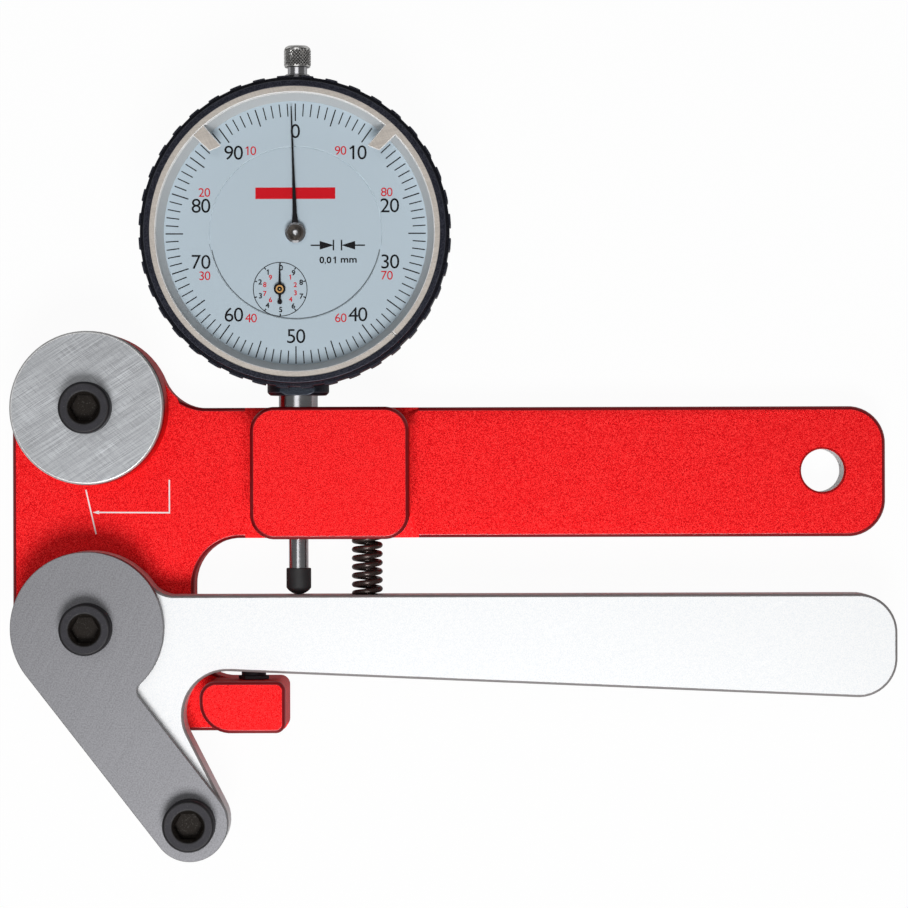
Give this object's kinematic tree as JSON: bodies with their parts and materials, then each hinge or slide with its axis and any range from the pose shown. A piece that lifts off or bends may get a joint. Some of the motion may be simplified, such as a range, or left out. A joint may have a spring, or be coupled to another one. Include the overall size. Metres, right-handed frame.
{
  "type": "spoke tension meter",
  "caption": "Hand tool with a red frame, a sprung silver lever and a dial gauge, which bends a wheel spoke between three steel posts to read its tension.",
  "frame": {"origin": "the lever's pivot axis, on the frame's back face", "axes": "+X along the handle towards its free end, +Y up the tool towards the gauge, +Z out of the dial's face"},
  "size_m": [0.1821, 0.1671, 0.0316],
  "materials": {
    "red_anodised": "satin red anodised with a fine speckle",
    "silver_anodised": "satin clear anodised",
    "ground_steel": "ground",
    "black_steel": "black oxide",
    "spring_steel": "dark drawn wire",
    "bright_steel": "polished",
    "plain_steel": "turned",
    "bronze": "turned",
    "movement_brass": "satin",
    "gauge_dark": "dark painted",
    "bezel_black": "moulded, satin",
    "scale_silver": "satin",
    "dial_face": "matt print on a pale blue-grey ground",
    "pointer_black": "matt black",
    "crystal_clear": "clear",
    "rubber_black": "matt"
  },
  "bodies": {
    "frame": {"frame_body": "red_anodised", "upper_support_disc": "ground_steel", "upper_contact_post": "black_steel", "pivot_bolt": "black_steel", "thrust_washer": "bronze", "stem_clamp_screw": "black_steel", "stop_screw": "black_steel", "stop_lock_nut": "black_steel", "handle_spring": "spring_steel", "gauge_case": "gauge_dark", "gauge_stem": "bright_steel", "stem_bush": "bronze", "top_bush": "plain_steel", "back_cover": "gauge_dark", "back_cover_screws": "plain_steel", "movement_rear_plate": "movement_brass", "movement_front_plate": "movement_brass", "movement_pillars": "movement_brass", "movement_screws": "plain_steel", "rack_bridge": "movement_brass", "bridge_posts": "plain_steel", "spindle_guide": "plain_steel", "spring_anchor": "plain_steel", "return_spring": "plain_steel", "inner_dial": "dial_face", "hairspring": "plain_steel", "hairspring_stud": "movement_brass", "bezel_wire": "plain_steel"},
    "lever": {"lever_arm": "silver_anodised", "lever_bush": "bronze", "lever_support_plate": "ground_steel", "lower_contact_post": "black_steel"},
    "spindle": {"spindle": "bright_steel", "guide_pin": "plain_steel", "lift_cap": "plain_steel", "contact_tip": "rubber_black"},
    "bezel": {"bezel": "bezel_black", "outer_dial": "dial_face", "dial_spacer": "scale_silver", "crystal": "crystal_clear"},
    "left_marker": {"left_marker": "scale_silver"},
    "right_marker": {"right_marker": "scale_silver"},
    "pointer": {"center_pinion": "plain_steel", "pointer_hub": "plain_steel", "main_pointer": "pointer_black"},
    "counter": {"counter_arbor": "plain_steel", "counter_wheel": "movement_brass", "counter_pointer": "pointer_black"},
    "take_up": {"take_up_arbor": "plain_steel", "take_up_wheel": "movement_brass"}
  },
  "joints": [
    {"name": "lever_pivot", "type": "hinge", "parent": "frame", "child": "lever", "pos_m": [0, 0, 0.0154], "axis": [0, 0, 1], "range_deg": [0, 6], "stiffness_Nm_per_rad": 30, "springref_deg": -4.58, "deforming": ["handle_spring"]},
    {"name": "spindle_slide", "type": "slide", "parent": "frame", "child": "spindle", "axis": [0, 1, 0], "range_m": [0, 0.01], "deforming": ["return_spring"]},
    {"name": "pointer_turn", "type": "hinge", "parent": "frame", "child": "pointer", "pos_m": [0.0429, 0.08035, 0.0205], "axis": [0, 0, 1], "range_deg": [-3600, 1]},
    {"name": "counter_turn", "type": "hinge", "parent": "frame", "child": "counter", "pos_m": [0.03965, 0.06895, 0.018], "axis": [0, 0, 1], "range_deg": [-1, 360]},
    {"name": "take_up_turn", "type": "hinge", "parent": "frame", "child": "take_up", "pos_m": [0.04615, 0.09175, 0.0205], "axis": [0, 0, 1], "range_deg": [-1, 360], "deforming": ["hairspring"]},
    {"name": "bezel_turn", "type": "hinge", "parent": "frame", "child": "bezel", "pos_m": [0.0429, 0.08035, 0.026], "axis": [0, 0, 1], "continuous": true},
    {"name": "left_marker_turn", "type": "hinge", "parent": "bezel", "child": "left_marker", "pos_m": [0.0429, 0.08035, 0.0306], "axis": [0, 0, 1], "range_deg": [-120, 36]},
    {"name": "right_marker_turn", "type": "hinge", "parent": "bezel", "child": "right_marker", "pos_m": [0.0429, 0.08035, 0.031], "axis": [0, 0, 1], "range_deg": [-36, 120]}
  ],
  "couplings": [
    {"joint": "spindle_slide", "follows": "lever_pivot", "m_per_rad": 0.04353},
    {"joint": "pointer_turn", "follows": "lever_pivot", "ratio": -273.51},
    {"joint": "counter_turn", "follows": "lever_pivot", "ratio": 27.351},
    {"joint": "take_up_turn", "follows": "lever_pivot", "ratio": 27.351}
  ]
}
